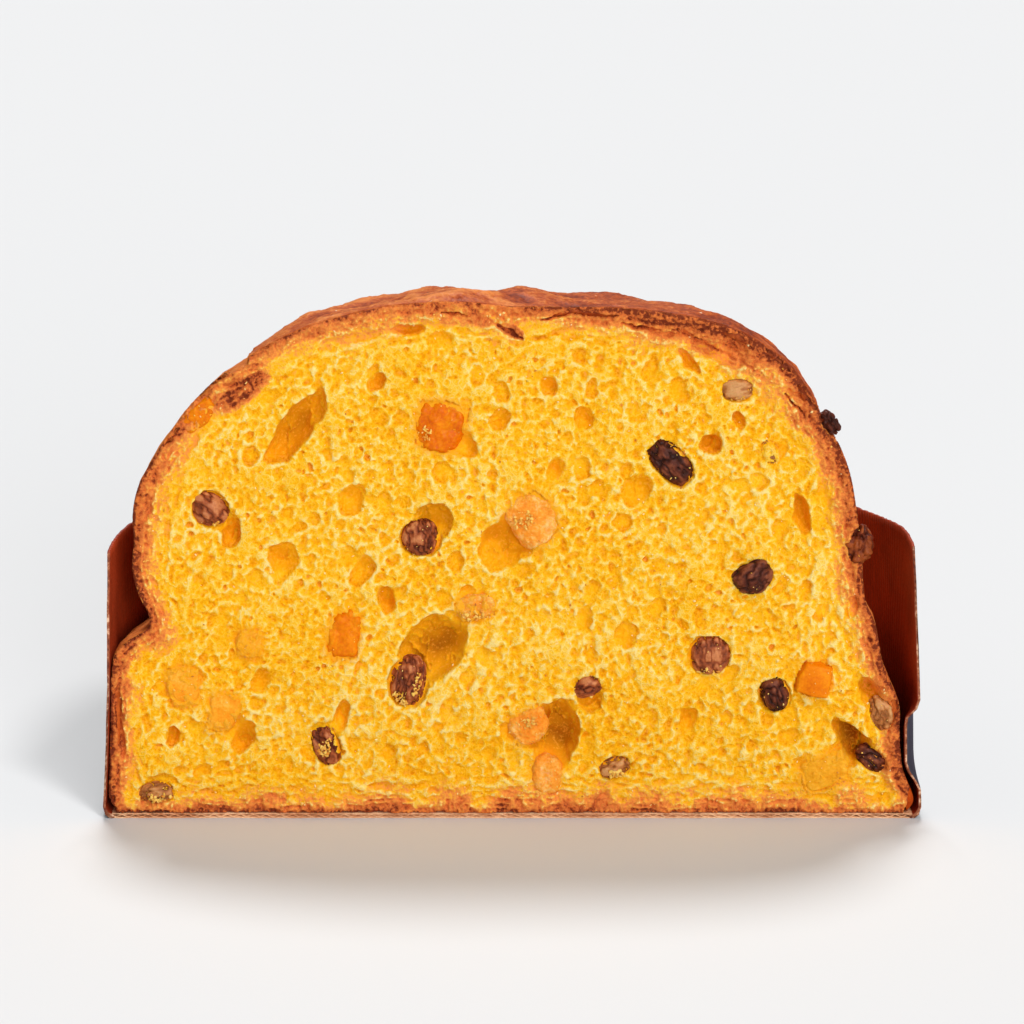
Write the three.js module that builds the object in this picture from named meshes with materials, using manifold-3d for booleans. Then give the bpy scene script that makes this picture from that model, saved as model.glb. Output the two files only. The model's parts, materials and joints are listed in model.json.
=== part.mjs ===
// Half of a low fruit loaf (panettone), cut straight down through the middle and standing in its half of
// a brown paper baking case. Millimetres, +Z up. The cut face looks along -Y, and the origin is under the
// middle of the whole.
//
// The loaf is one solid: a domed crust with a lip where the dark cap ends, a scored seam down the back, and
// a cut face with its crust rim, air holes and the pockets that the fruit sits in. Each raisin and each
// piece of candied peel that the cut shows is a solid of its own, and so is the paper case.
import * as THREE from "three";
import { mergeVertices } from "three/addons/utils/BufferGeometryUtils.js";
import Module from "manifold-3d";

const wasm = await Module();
wasm.setup();
const { clamp, degToRad, lerp, smoothstep } = THREE.MathUtils;

// Driving dimensions
const GAP = 0.35; // between two pieces that lie together
const CASE_HEIGHT = 72; // a low case for a loaf of 1 kg: 210 mm across and 70 mm high
const CASE_FOOT_RADIUS = 106.2; // outside, just above the rounded corner
const CASE_RIM_RADIUS = 103.4; // outside, at the rim
const CASE_WALL = 0.8;
const CASE_BOARD = 1.2; // the corrugated bottom
const CASE_CORNER = 3; // radius of the corner between bottom and wall
const CASE_SLOPE = (CASE_FOOT_RADIUS - CASE_RIM_RADIUS) / CASE_HEIGHT;
const CASE_WAVE = 0.35; // how far the paper is out of round
const LOAF_FOOT = CASE_BOARD + GAP;
const LOAF_CROWN = 135.2;

// Outline of the cut loaf on each side, from the foot up: distance from the middle, then height.
const RIGHT_OUTLINE = [
  [101.6, LOAF_FOOT], [103.4, 5], [100.6, 13], [99.8, 22], [99.6, 30], [97.8, 36], [95.4, 42],
  [93.4, 52], [90.6, 59], [89.6, 70], [88.4, 80], [86.5, 91], [83.6, 99], [79.2, 106.5], [75.4, 113.5],
  [70.6, 120], [62, 126.6], [52, 131.2], [40, 133.6], [26, 135], [12, 135.2], [0, LOAF_CROWN],
];
const LEFT_OUTLINE = [
  [102.4, LOAF_FOOT], [104.4, 6], [104.2, 14], [103.6, 28], [102.8, 42], [99.6, 47], [94.2, 50.5],
  [93.2, 54], [96, 60], [97.3, 67], [96.8, 74], [97, 81], [95.6, 88], [92.6, 94], [88.2, 101],
  [82.4, 109], [75.4, 116.2], [64.5, 123.6], [54, 129.2], [43, 132.8], [30, 135.6], [14, 136.6],
  [0, LOAF_CROWN],
];

// The dark cap of the crust ends in a lip, which starts at these shares of the way along the two outlines.
// A scored seam runs over the cap from front to back, a little left of the middle, and the dome has sunk
// beside it.
const LIP_RIGHT = 0.555;
const LIP_LEFT = 0.66;
const LIP_WANDER = 0.035;
const LIP_STEP = 1.7;
const SEAM_AT = -9;
const SEAM_WIDTH = 4.4;
const SEAM_DEPTH = 2.6;
const SEAM_EDGE = 1.2;
const SUNK_AT = [13, 38]; // across, and behind the cut
const SUNK_REACH = [20, 32];
const SUNK_DEPTH = 4.6;

// Air holes in the cut face: place across, height, width, length, depth, and the turn of the length from
// upright in degrees, clockwise.
const AIR_HOLES = [
  [-54.8, 103.6, 8.2, 25, 8, 39], [-60.6, 98.4, 3.2, 8, 3, 34], [-25.7, 129.2, 3.4, 10.4, 6, 86],
  [-34.4, 115.7, 4.4, 6.4, 5, 40], [-41, 85, 7.4, 9.4, 4, 20], [-58.8, 69.3, 7.6, 10, 5, 0],
  [-71.8, 76.4, 5.6, 9.4, 6, 20], [-38.3, 66, 6.4, 10.4, 4, 18], [-32, 58.4, 5, 7.4, 6, 16],
  [-69.4, 21.6, 5.4, 10.4, 6, 24], [-87.6, 22, 3.6, 6.6, 6, 30], [-20.4, 45.6, 15, 20, 9, 38],
  [-20.2, 78.6, 10.4, 12.4, 6, 30], [-3, 106, 5.6, 6.6, 4, 10], [-2.6, 72.4, 13, 14, 7, 20],
  [11.6, 22.6, 11, 19, 9, 0], [50.6, 99, 5, 6.2, 8, -50], [74, 81.2, 3.6, 12, 7, -14],
  [87.4, 57, 2.4, 7.2, 6, 6], [93.2, 32.6, 5, 13, 10, -36], [89, 19.8, 6, 17, 10, -46],
  [44.6, 121, 3.2, 9.4, 5, -44], [57.8, 105.4, 3.6, 5.6, 5, -30], [18.7, 106.6, 5.6, 6.2, 4, 0],
  [11.2, 93, 4.6, 7.4, 4, 20], [20.4, 31.4, 6.4, 7, 6, 0], [-14.4, 68.4, 5.2, 6.4, 3, 0],
  [29.2, 49.4, 6, 8, 3.4, 10], [45.6, 26.6, 5, 8.4, 4, 10], [-101, 27, 1.9, 25, 8, -2],
  [55.4, 123.8, 8, 9.6, 7, 15], [48.6, 124.6, 3.6, 10, 7, 122], [40, 128.2, 1.8, 13, 6, 95],
  [72.6, 112.2, 2.6, 8, 5, -42], [83, 90.6, 1.6, 8, 4, -24], [-11.6, 60.6, 4, 4.6, 4, 0],
  [9.6, 115, 5, 5.4, 4, 0], [-11, 98.8, 4, 5.6, 4, 0], [-64.6, 36.6, 5, 8.4, 3, 12],
  [-44, 27.4, 4, 10.4, 4, 10], [31.8, 88, 8.4, 10.4, 3.6, 20],
];

// Raisins: name, place across, how far the middle lies behind the cut, height, width, length, turn as above.
const RAISINS = [
  ["raisin_far_left", -77.2, 2.7, 82.4, 8.6, 10.4, -50], ["raisin_left", -23.4, 2.5, 74.8, 9.8, 10.6, 0],
  ["raisin_upper", 40.6, 2.7, 94.6, 9.4, 15.6, -43], ["raisin_right", 61.8, 1.4, 64.6, 9.6, 11.4, 60],
  ["raisin_cut", 50.8, 3.5, 43.6, 11, 11.8, 0], ["raisin_dark", 67.8, 2, 33, 8.6, 10.4, -20],
  ["raisin_small", 19.6, 1.6, 35.2, 5.4, 7.8, 70], ["raisin_hollow", -26.8, 3, 36.4, 9.4, 15, 6],
  ["raisin_low_left", -48, 2.2, 19.4, 7.6, 12, -20], ["raisin_corner", 93.4, 3.6, 15.4, 6.4, 9.4, -50],
  ["raisin_on_crust", 89, 1.9, 72.8, 5.4, 10.4, 8], ["raisin_burnt", 80.9, 2.2, 104.6, 4, 7.2, -32],
  ["sultana_low", 26.6, 2, 13.6, 5.8, 9.4, 70], ["sultana_foot", -92.2, 1.6, 6.9, 5.4, 10.6, 84],
  ["sultana_top", 57.3, 1.9, 113.6, 5.6, 9, 86], ["sultana_faint", 66, 1.6, 97.4, 4.8, 7.6, -26],
  ["sultana_wall", 95.6, 3.2, 27.6, 6.4, 9.8, -20],
];

// Candied peel: name, place across, distance behind the cut, height, width, length, depth and turn.
const PEEL = [
  ["peel_amber", -18.2, 3.4, 104.2, 12.4, 13.4, 7, 12], ["peel_peach", 5.4, 3.4, 79.4, 11.4, 13, 7, -34],
  ["peel_crescent", -43.4, 3.5, 48.8, 8, 12.4, 7, 8], ["peel_cube", 78, 1.6, 37.4, 8.4, 8.6, 7, 14],
  ["peel_rough", 4.2, 2.9, 24.6, 8.6, 9.8, 6, 62], ["peel_pale", 8.8, 2.9, 11.6, 7, 8.8, 6, 4],
  ["peel_buried", -84.7, 3, 35.4, 8, 10.6, 6, -6], ["peel_faint", -74.6, 3, 28.4, 7.4, 10.6, 6, 14],
  ["peel_tan", -9.6, 2.4, 56.4, 6.2, 9.4, 5, 78], ["peel_lemon", -67.4, 3, 47, 6.4, 7.6, 6, 4],
  ["peel_in_crust", -79.6, 2.3, 107, 4.4, 9.8, 5, 48], ["citron_corner", 80.8, 3, 12.4, 9, 12.4, 6, 70],
];

// The solids

// A closed solid from a geometry, its shared vertices merged.
function solidFrom(geometry) {
  const bare = geometry.index ? geometry.toNonIndexed() : geometry.clone();
  bare.deleteAttribute("normal");
  bare.deleteAttribute("uv");
  const merged = mergeVertices(bare, 1e-4);
  return new wasm.Manifold(
    new wasm.Mesh({
      numProp: 3,
      vertProperties: new Float32Array(merged.attributes.position.array),
      triVerts: new Uint32Array(merged.index.array),
    }),
  );
}

// A three.js geometry from a solid.
function geometryFrom(solid) {
  const mesh = solid.getMesh();
  const places = new Float32Array(mesh.numVert * 3);
  for (let i = 0; i < mesh.numVert; i++) {
    places.set(mesh.vertProperties.subarray(i * mesh.numProp, i * mesh.numProp + 3), i * 3);
  }
  return new THREE.BufferGeometry()
    .setAttribute("position", new THREE.BufferAttribute(places, 3))
    .setIndex(new THREE.BufferAttribute(mesh.triVerts, 1));
}

// Moves each point of a geometry to where `place` puts it.
function reshape(geometry, place) {
  const at = geometry.attributes.position;
  const point = new THREE.Vector3();
  for (let i = 0; i < at.count; i++) {
    point.fromBufferAttribute(at, i);
    place(point);
    at.setXYZ(i, point.x, point.y, point.z);
  }
  return geometry;
}

// A solid swept half way round the axis, from +X over +Y to -X. `point(angle, j)` gives the points 0 to
// `rows` - 1 of a section that starts on the axis at the height `foot` and ends on it at the height `top`.
function halfTurn(columns, rows, point, foot, top) {
  const places = [];
  for (let i = 0; i <= columns; i++) {
    for (let j = 0; j < rows; j++) places.push(point((Math.PI * i) / columns, j));
  }
  const last = places.push([0, 0, top]) - 1;
  const first = places.push([0, 0, foot]) - 1;
  const faces = [];
  const at = (i, j) => i * rows + j;
  for (let i = 0; i < columns; i++) {
    for (let j = 0; j < rows - 1; j++) {
      faces.push(at(i, j), at(i + 1, j), at(i, j + 1));
      faces.push(at(i + 1, j), at(i + 1, j + 1), at(i, j + 1));
    }
    faces.push(at(i, rows - 1), at(i + 1, rows - 1), last);
    faces.push(at(i + 1, 0), at(i, 0), first);
  }
  const edge = [first];
  for (let j = 0; j < rows; j++) edge.push(at(0, j));
  edge.push(last);
  for (let j = rows - 1; j >= 0; j--) edge.push(at(columns, j));
  const flat = edge.map((k) => new THREE.Vector2(places[k][0], places[k][2]));
  for (const [a, b, c] of THREE.ShapeUtils.triangulateShape(flat, [])) {
    faces.push(edge[a], edge[b], edge[c]);
  }
  const geometry = new THREE.BufferGeometry();
  geometry.setAttribute("position", new THREE.Float32BufferAttribute(places.flat(), 3));
  geometry.setIndex(faces);
  return geometry;
}

const turned = (degrees) => new THREE.Matrix4().makeRotationY(degToRad(degrees));

// Crust

const rightCurve = new THREE.SplineCurve(RIGHT_OUTLINE.map(([r, z]) => new THREE.Vector2(r, z)));
const leftCurve = new THREE.SplineCurve(LEFT_OUTLINE.map(([r, z]) => new THREE.Vector2(r, z)));

// The bare outline at an angle round the loaf, 0 at the right end of the cut and pi at the left end.
function outlineAt(angle, share) {
  const left = (1 - Math.cos(angle)) / 2;
  return rightCurve.getPointAt(share).lerp(leftCurve.getPointAt(share), left);
}

// Where the lip of the cap runs at an angle, as a share of the outline. It wanders away from the cut.
function lipAt(angle) {
  const wander = Math.sin(2.3 * angle + 0.6) + 0.7 * Math.sin(5.1 * angle + 2) + 0.4 * Math.sin(9 * angle);
  const level = lerp(LIP_RIGHT, LIP_LEFT, (1 - Math.cos(angle)) / 2);
  return level + LIP_WANDER * Math.sin(angle) * wander;
}

// How far the crust stands out from the bare outline. The swells start behind the cut.
function crustRelief(angle, share, radius, height) {
  const behindCut = smoothstep(Math.sin(angle), 0, 0.35);
  const x = radius * Math.cos(angle);
  const y = radius * Math.sin(angle);
  const swells = 1.3 * Math.sin(x / 17 + 1) * Math.cos(y / 21 + height / 30);
  const lumps = swells + 0.9 * Math.sin(x / 9 - y / 12 + height / 14);
  const ripples = 0.5 * Math.sin(x / 5 + height / 7) * Math.sin(y / 6 - height / 9);
  const below = lipAt(angle) - share;
  const lip = below > 0 ? -LIP_STEP * Math.exp(-below / 0.05) : 0;
  const onCap = smoothstep(share, lipAt(angle), lipAt(angle) + 0.08);
  const off = (x - SEAM_AT - 3 * Math.sin(y / 14)) / (SEAM_WIDTH + 0.04 * radius);
  const edges = SEAM_EDGE * Math.exp(-2 * (Math.abs(off) - 1.6) ** 2);
  const seam = onCap * smoothstep(radius, 14, 44) * (edges - SEAM_DEPTH * Math.exp(-off * off));
  const across = (x - SUNK_AT[0]) / SUNK_REACH[0];
  const back = (y - SUNK_AT[1]) / SUNK_REACH[1];
  const sunk = behindCut * onCap * SUNK_DEPTH * Math.exp(-across * across - back * back);
  const fade = smoothstep(1 - share, 0, 0.1) * smoothstep(share, 0, 0.3);
  return fade * (behindCut * (lumps + ripples + seam) + lip) - sunk;
}

// The widest the crust can be at a height without touching the paper.
function roomInCase(height) {
  if (height > CASE_HEIGHT + 3) return Infinity;
  const corner = CASE_FOOT_RADIUS - CASE_CORNER + height - CASE_WALL;
  return Math.min(corner, CASE_FOOT_RADIUS - CASE_SLOPE * height - CASE_WALL - CASE_WAVE) - GAP;
}

// A point on the crust.
function crustPoint(angle, share) {
  const { x: radius, y: height } = outlineAt(angle, share);
  const ahead = outlineAt(angle, Math.min(1, share + 0.01));
  const behind = outlineAt(angle, Math.max(0, share - 0.01));
  const along = ahead.sub(behind).normalize();
  const relief = crustRelief(angle, share, radius, height);
  const z = height - along.x * relief;
  const r = clamp(radius + along.y * relief, 0, roomInCase(z));
  return [r * Math.cos(angle), r * Math.sin(angle), z];
}

// The whole half loaf before anything is cut into it. Two rows of points lie close together on the lip.
function bareLoaf() {
  const below = 20;
  const above = 12;
  return halfTurn(44, below + above, (angle, j) => {
    const lip = lipAt(angle);
    return crustPoint(angle, j < below
      ? (lip - 0.002) * (j / (below - 1))
      : lip + 0.004 + (0.985 - lip) * ((j - below) / (above - 1)));
  }, LOAF_FOOT, LOAF_CROWN);
}

// Fruit and air holes

// An air hole: a lumpy hollow, open at the cut.
function airHole([x, z, wide, long, deep, turn], index) {
  const ball = new THREE.IcosahedronGeometry(1, long > 14 ? 2 : 1);
  reshape(ball, (p) => {
    const lump = 1 + 0.1 * Math.sin(5 * p.x + index) * Math.cos(4 * p.z + 2 * index);
    p.multiplyScalar(lump);
    p.set(p.x * wide / 2, p.y * deep, p.z * long / 2);
  });
  ball.applyMatrix4(turned(turn)).translate(x, 0, z);
  return solidFrom(ball);
}

// A raisin: a flattened ball with furrows along its length, and a dimple at each end.
function raisin([, x, behind, z, wide, long, turn], index, grown = 0) {
  const ball = new THREE.SphereGeometry(1, 10, 6).rotateX(Math.PI / 2);
  reshape(ball, (p) => {
    const round = Math.atan2(p.y, p.x);
    const waist = Math.hypot(p.x, p.y);
    const ridges = 0.09 * Math.cos(6 * round + index) + 0.08 * Math.sin(2 * round + 2 * index);
    const furrow = 1 + waist * ridges;
    const end = 1 - 0.14 * (1 - waist) ** 2;
    const bend = 0.12 * p.z * p.z * Math.cos(index);
    p.set(
      (p.x * furrow + bend) * (wide / 2 + grown),
      p.y * furrow * (wide * 0.42 + grown),
      p.z * end * (long / 2 + grown),
    );
  });
  ball.applyMatrix4(turned(turn)).translate(x, behind, z);
  return ball;
}

// A piece of peel: a diced block with its corners worn round and its sides out of true.
function peel([, x, behind, z, wide, long, deep, turn], index, grown = 0) {
  const block = new THREE.BoxGeometry(2, 2, 2, 2, 2, 2);
  reshape(block, (p) => {
    const worn = Math.pow(p.length(), -0.42) * 1.12;
    const skew = 0.13 * Math.sin(3 * p.z + 2 * index);
    const taper = 1 + 0.1 * p.z * Math.cos(index);
    p.set(
      (p.x * worn * taper + skew) * (wide / 2 + grown),
      p.y * worn * (deep / 2 + grown),
      (p.z * worn + 0.1 * p.x * Math.sin(index)) * (long / 2 + grown),
    );
  });
  block.applyMatrix4(turned(turn)).translate(x, behind, z);
  return block;
}

// Paper case

// How far the cut edge of the paper is pushed in low on the right, where it is creased.
function crease(angle, height) {
  const near = Math.exp(-((angle / 0.08) ** 2));
  return 3.6 * near * (smoothstep(height, 7, 15) - smoothstep(height, 26, 31));
}

// The half case: its bottom, the rounded corner, and the wall with its wavy rim.
function halfCase() {
  const bend = CASE_FOOT_RADIUS - CASE_CORNER;
  const section = (angle) => {
    const rim = CASE_HEIGHT + 0.9 * Math.sin(5 * angle + 1) + 0.6 * Math.sin(11 * angle);
    const wave = (z) => CASE_WAVE * Math.sin(7 * angle + z / 20);
    const outer = [9, 16, 23, 30, 45, rim].map(
      (z) => [CASE_FOOT_RADIUS - CASE_SLOPE * z - crease(angle, z) + wave(z), z],
    );
    return [
      [bend, 0],
      [bend + CASE_CORNER * Math.SQRT1_2, CASE_CORNER * (1 - Math.SQRT1_2)],
      [CASE_FOOT_RADIUS, CASE_CORNER],
      ...outer,
      ...outer.map(([r, z]) => [r - CASE_WALL, z]).reverse(),
      [CASE_FOOT_RADIUS - CASE_WALL, CASE_CORNER],
      [CASE_FOOT_RADIUS - CASE_WALL - CASE_CORNER + CASE_BOARD, CASE_BOARD],
    ];
  };
  return halfTurn(48, section(0).length, (angle, j) => {
    const [r, z] = section(angle)[j];
    return [r * Math.cos(angle), r * Math.sin(angle), z];
  }, 0, CASE_BOARD);
}

// Assembly

const crumbLook = new THREE.MeshStandardMaterial({ color: 0xf6bb3c, roughness: 0.85, metalness: 0 });
const paperLook = new THREE.MeshStandardMaterial({ color: 0x6b2a14, roughness: 0.55, metalness: 0 });
const raisinLook = new THREE.MeshStandardMaterial({ color: 0x5a2e20, roughness: 0.45, metalness: 0 });
const sultanaLook = new THREE.MeshStandardMaterial({ color: 0xb98048, roughness: 0.4, metalness: 0 });
const peelLook = new THREE.MeshStandardMaterial({ color: 0xf28a18, roughness: 0.3, metalness: 0 });
const paleLook = new THREE.MeshStandardMaterial({ color: 0xf6b04c, roughness: 0.35, metalness: 0 });

const halfLoaf = new THREE.Group();
const add = (name, geometry, look) => {
  const mesh = new THREE.Mesh(geometry, look);
  mesh.name = name;
  halfLoaf.add(mesh);
};

const raisinSolids = RAISINS.map((row, i) => solidFrom(raisin(row, i)));
const peelSolids = PEEL.map((row, i) => solidFrom(peel(row, i)));

// Everything that is cut out of the loaf: the air holes, and a pocket for each piece of fruit.
const pockets = [
  ...AIR_HOLES.map(airHole),
  ...RAISINS.map((row, i) => solidFrom(raisin(row, i, GAP))),
  ...PEEL.map((row, i) => solidFrom(peel(row, i, GAP))),
];
const cut = solidFrom(bareLoaf()).subtract(wasm.Manifold.union(pockets));
const [loaf] = cut.decompose().sort((a, b) => b.volume() - a.volume());
add("loaf", geometryFrom(loaf), crumbLook);

add("paper_case", halfCase(), paperLook);

RAISINS.forEach(([name], i) => {
  add(name, geometryFrom(raisinSolids[i]), name.startsWith("sultana") ? sultanaLook : raisinLook);
});
PEEL.forEach(([name], i) => {
  const strong = ["peel_amber", "peel_crescent", "peel_cube"].includes(name);
  add(name, geometryFrom(peelSolids[i]), strong ? peelLook : paleLook);
});

// The origin lies under the middle of the whole.
const whole = new THREE.Box3().setFromObject(halfLoaf);
halfLoaf.position.set(-(whole.min.x + whole.max.x) / 2, -(whole.min.y + whole.max.y) / 2, -whole.min.z);

export default halfLoaf;
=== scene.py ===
"""Looks for the half fruit loaf in its paper case. Lengths are millimetres until a mesh is made."""
import json
import math
from functools import partial

import bpy
import numpy as np
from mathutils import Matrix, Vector
from mathutils.bvhtree import BVHTree


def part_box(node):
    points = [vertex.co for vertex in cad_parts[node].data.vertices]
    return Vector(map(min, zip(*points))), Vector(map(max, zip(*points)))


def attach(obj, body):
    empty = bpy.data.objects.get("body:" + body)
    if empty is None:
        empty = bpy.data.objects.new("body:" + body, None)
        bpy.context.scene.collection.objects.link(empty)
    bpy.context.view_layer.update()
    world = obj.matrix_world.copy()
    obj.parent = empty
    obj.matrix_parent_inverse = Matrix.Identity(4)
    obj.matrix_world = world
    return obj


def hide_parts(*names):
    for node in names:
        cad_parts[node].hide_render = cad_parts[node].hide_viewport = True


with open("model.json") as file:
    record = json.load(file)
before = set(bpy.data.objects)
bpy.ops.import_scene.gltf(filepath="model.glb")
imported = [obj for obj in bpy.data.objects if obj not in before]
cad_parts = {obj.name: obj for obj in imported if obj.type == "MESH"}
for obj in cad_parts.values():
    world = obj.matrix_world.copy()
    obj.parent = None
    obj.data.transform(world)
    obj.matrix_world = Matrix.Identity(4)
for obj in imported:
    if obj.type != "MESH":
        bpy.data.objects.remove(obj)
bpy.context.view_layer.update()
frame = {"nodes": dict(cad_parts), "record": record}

MM = 0.001
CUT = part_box("loaf")[0].y / MM  # the plane of the cut face
RNG = np.random.default_rng(1705)

# The loaf's outline on each side of the cut, from foot to crown: distance from the middle, then height.
LOAF_FOOT = 1.55
LOAF_CROWN = 135.2
RIGHT_OUTLINE = [
    (102.4, LOAF_FOOT), (104.1, 5), (101.2, 13), (100.2, 22), (100, 30), (97.8, 36), (95.4, 42),
    (93.4, 52), (90.6, 59), (89.6, 70), (88.4, 80), (86.5, 91), (83.6, 99), (79.2, 106.5), (75.4, 113.5),
    (70.6, 120), (62, 126.6), (52, 131.2), (40, 133.6), (26, 135), (12, 135.2), (0, LOAF_CROWN),
]
LEFT_OUTLINE = [
    (102.4, LOAF_FOOT), (104.4, 6), (104.2, 14), (103.6, 28), (102.8, 42), (99.6, 47), (94.2, 50.5),
    (93.2, 54), (96, 60), (97.3, 67), (96.8, 74), (97, 81), (95.6, 88), (92.6, 94), (88.2, 101),
    (82.4, 109), (75.4, 116.2), (64.5, 123.6), (54, 129.2), (43, 132.8), (30, 135.6), (14, 136.6),
    (0, LOAF_CROWN),
]
OUTLINE_STEPS = 700
STEPS_BETWEEN = 40  # on the smooth curve from one point of an outline to the next

# The cap's lip, the scored seam and the sunken place beside it, as the loaf's solid has them.
LIP_RIGHT, LIP_LEFT, LIP_WANDER, LIP_STEP = 0.555, 0.66, 0.035, 1.7
SEAM_AT, SEAM_WIDTH, SEAM_DEPTH, SEAM_EDGE = -9, 4.4, 2.6, 1.2
SUNK_AT, SUNK_REACH, SUNK_DEPTH = (13, 38), (20, 32), 4.6

# The paper case, as its solid has it.
CASE_HEIGHT, CASE_FOOT_RADIUS, CASE_RIM_RADIUS = 72, 106.2, 103.4
CASE_WALL, CASE_BOARD, CASE_CORNER, CASE_WAVE = 0.8, 1.2, 3, 0.35
CASE_SLOPE = (CASE_FOOT_RADIUS - CASE_RIM_RADIUS) / CASE_HEIGHT
CLEARANCE = 0.35


# Fields and curves

LATTICE = 32  # random values each way, which then repeat
FAINTER = 0.55  # strength of each finer layer of noise


def smoothstep(value, low, high):
    t = np.clip((value - low) / (high - low), 0, 1)
    return t * t * (3 - 2 * t)


def noise(x, y, z, size, seed):
    """Smooth noise from -1 to 1 that changes over about `size` millimetres."""
    lattice = np.random.default_rng(seed).random((LATTICE,) * 3).astype(np.float32)
    corners = []
    for values in np.broadcast_arrays(x, y, z):
        place = np.asarray(values, np.float32) / size + 20 * LATTICE
        cell = np.floor(place).astype(int)
        part = place - cell
        corners.append((cell % LATTICE, (cell + 1) % LATTICE, part * part * (3 - 2 * part)))
    (x0, x1, fx), (y0, y1, fy), (z0, z1, fz) = corners

    def along_x(yi, zi):
        return lattice[x0, yi, zi] * (1 - fx) + lattice[x1, yi, zi] * fx

    low = along_x(y0, z0) * (1 - fy) + along_x(y1, z0) * fy
    high = along_x(y0, z1) * (1 - fy) + along_x(y1, z1) * fy
    return 2 * (low * (1 - fz) + high * fz) - 1


def layered(x, y, z, size, seed, layers=3):
    """Noise with finer and fainter layers laid over it."""
    total, weight = 0, 1
    for k in range(layers):
        total = total + weight * noise(x, y, z, size / 2 ** k, seed + k)
        weight *= FAINTER
    return total


def spline(points):
    """The distances and heights along the smooth curve through an outline's points, evenly spaced."""
    p = np.array(points, float)
    p = np.vstack([p[:1], p, p[-1:]])
    t = np.linspace(0, 1, STEPS_BETWEEN, endpoint=False)[:, None]
    pieces = []
    for a, b, c, d in zip(p[:-3], p[1:-2], p[2:-1], p[3:]):
        v, w = (c - a) / 2, (d - b) / 2
        pieces.append((2 * b - 2 * c + v + w) * t ** 3 + (-3 * b + 3 * c - 2 * v - w) * t ** 2 + v * t + b)
    curve = np.vstack(pieces + [p[-1:]])
    gone = np.concatenate([[0], np.cumsum(np.linalg.norm(np.diff(curve, axis=0), axis=1))])
    at = np.linspace(0, gone[-1], OUTLINE_STEPS)
    return np.stack([np.interp(at, gone, curve[:, 0]), np.interp(at, gone, curve[:, 1])])


RIGHT_CURVE = spline(RIGHT_OUTLINE)
LEFT_CURVE = spline(LEFT_OUTLINE)
SHARES = np.linspace(0, 1, OUTLINE_STEPS)


def outline_at(angle, share):
    """The bare outline at an angle round the loaf: 0 at the right end of the cut, pi at the left end."""
    share = np.clip(share, 0, 1)
    left = (1 - np.cos(angle)) / 2
    right_at = [np.interp(share, SHARES, line) for line in RIGHT_CURVE]
    left_at = [np.interp(share, SHARES, line) for line in LEFT_CURVE]
    return [r * (1 - left) + s * left for r, s in zip(right_at, left_at)]


def lip_at(angle):
    """Where the lip of the cap runs, as a share of the outline."""
    wander = np.sin(2.3 * angle + 0.6) + 0.7 * np.sin(5.1 * angle + 2) + 0.4 * np.sin(9 * angle)
    between = LIP_RIGHT + (LIP_LEFT - LIP_RIGHT) * (1 - np.cos(angle)) / 2
    return between + LIP_WANDER * np.sin(angle) * wander


def room_in_case(height):
    """The widest the crust can be at a height without touching the paper."""
    corner = CASE_FOOT_RADIUS - CASE_CORNER + height - CASE_WALL
    wall = CASE_FOOT_RADIUS - CASE_SLOPE * height - CASE_WALL - CASE_WAVE
    return np.where(height > CASE_HEIGHT + 3, np.inf, np.minimum(corner, wall) - CLEARANCE)


def crust_relief(angle, share, radius, height):
    """How far the crust stands out from the bare outline: the solid's own swells, lip and seam."""
    behind_cut = smoothstep(np.sin(angle), 0, 0.35)
    x, y = radius * np.cos(angle), radius * np.sin(angle)
    swells = 1.3 * np.sin(x / 17 + 1) * np.cos(y / 21 + height / 30)
    lumps = swells + 0.9 * np.sin(x / 9 - y / 12 + height / 14)
    ripples = 0.5 * np.sin(x / 5 + height / 7) * np.sin(y / 6 - height / 9)
    below = lip_at(angle) - share
    lip = np.where(below > 0, -LIP_STEP * np.exp(-np.maximum(below, 0) / 0.05), 0)
    on_cap = smoothstep(share, lip_at(angle), lip_at(angle) + 0.08)
    off = (x - SEAM_AT - 3 * np.sin(y / 14)) / (SEAM_WIDTH + 0.04 * radius)
    edges = SEAM_EDGE * np.exp(-2 * (np.abs(off) - 1.6) ** 2)
    seam = on_cap * smoothstep(radius, 14, 44) * (edges - SEAM_DEPTH * np.exp(-off * off))
    across, back = (x - SUNK_AT[0]) / SUNK_REACH[0], (y - SUNK_AT[1]) / SUNK_REACH[1]
    sunk = behind_cut * on_cap * SUNK_DEPTH * np.exp(-across * across - back * back)
    fade = smoothstep(1 - share, 0, 0.1) * smoothstep(share, 0, 0.3)
    return fade * (behind_cut * (lumps + ripples + seam) + lip) - sunk


# Meshes

def activate(piece):
    bpy.ops.object.select_all(action="DESELECT")
    piece.select_set(True)
    bpy.context.view_layer.objects.active = piece


def added(name):
    """Names the object that an operator has just added."""
    piece = bpy.context.active_object
    piece.name = piece.data.name = name
    return piece


def vectors(items, name):
    """A vector of each vertex or face of a mesh, one row each."""
    values = np.empty(len(items) * 3, np.float32)
    items.foreach_get(name, values)
    return values.reshape(-1, 3)


def points_of(piece):
    """A mesh's points in millimetres, one row each."""
    return vectors(piece.data.vertices, "co").astype(float) / MM


def set_points(piece, places):
    piece.data.vertices.foreach_set("co", np.asarray(places * MM, np.float32).ravel())
    piece.data.update()


def choose_points(piece, chosen=True):
    """Selects the points of a mesh where `chosen` is true, or all of them, and enters edit mode."""
    activate(piece)
    bpy.ops.object.mode_set(mode="EDIT")
    bpy.ops.mesh.select_all(action="DESELECT")
    bpy.ops.mesh.select_mode(type="VERT")
    bpy.ops.object.mode_set(mode="OBJECT")
    piece.data.vertices.foreach_set("select", np.full(len(piece.data.vertices), chosen))
    bpy.ops.object.mode_set(mode="EDIT")


def leave_edit():
    bpy.ops.object.mode_set(mode="OBJECT")


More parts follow.
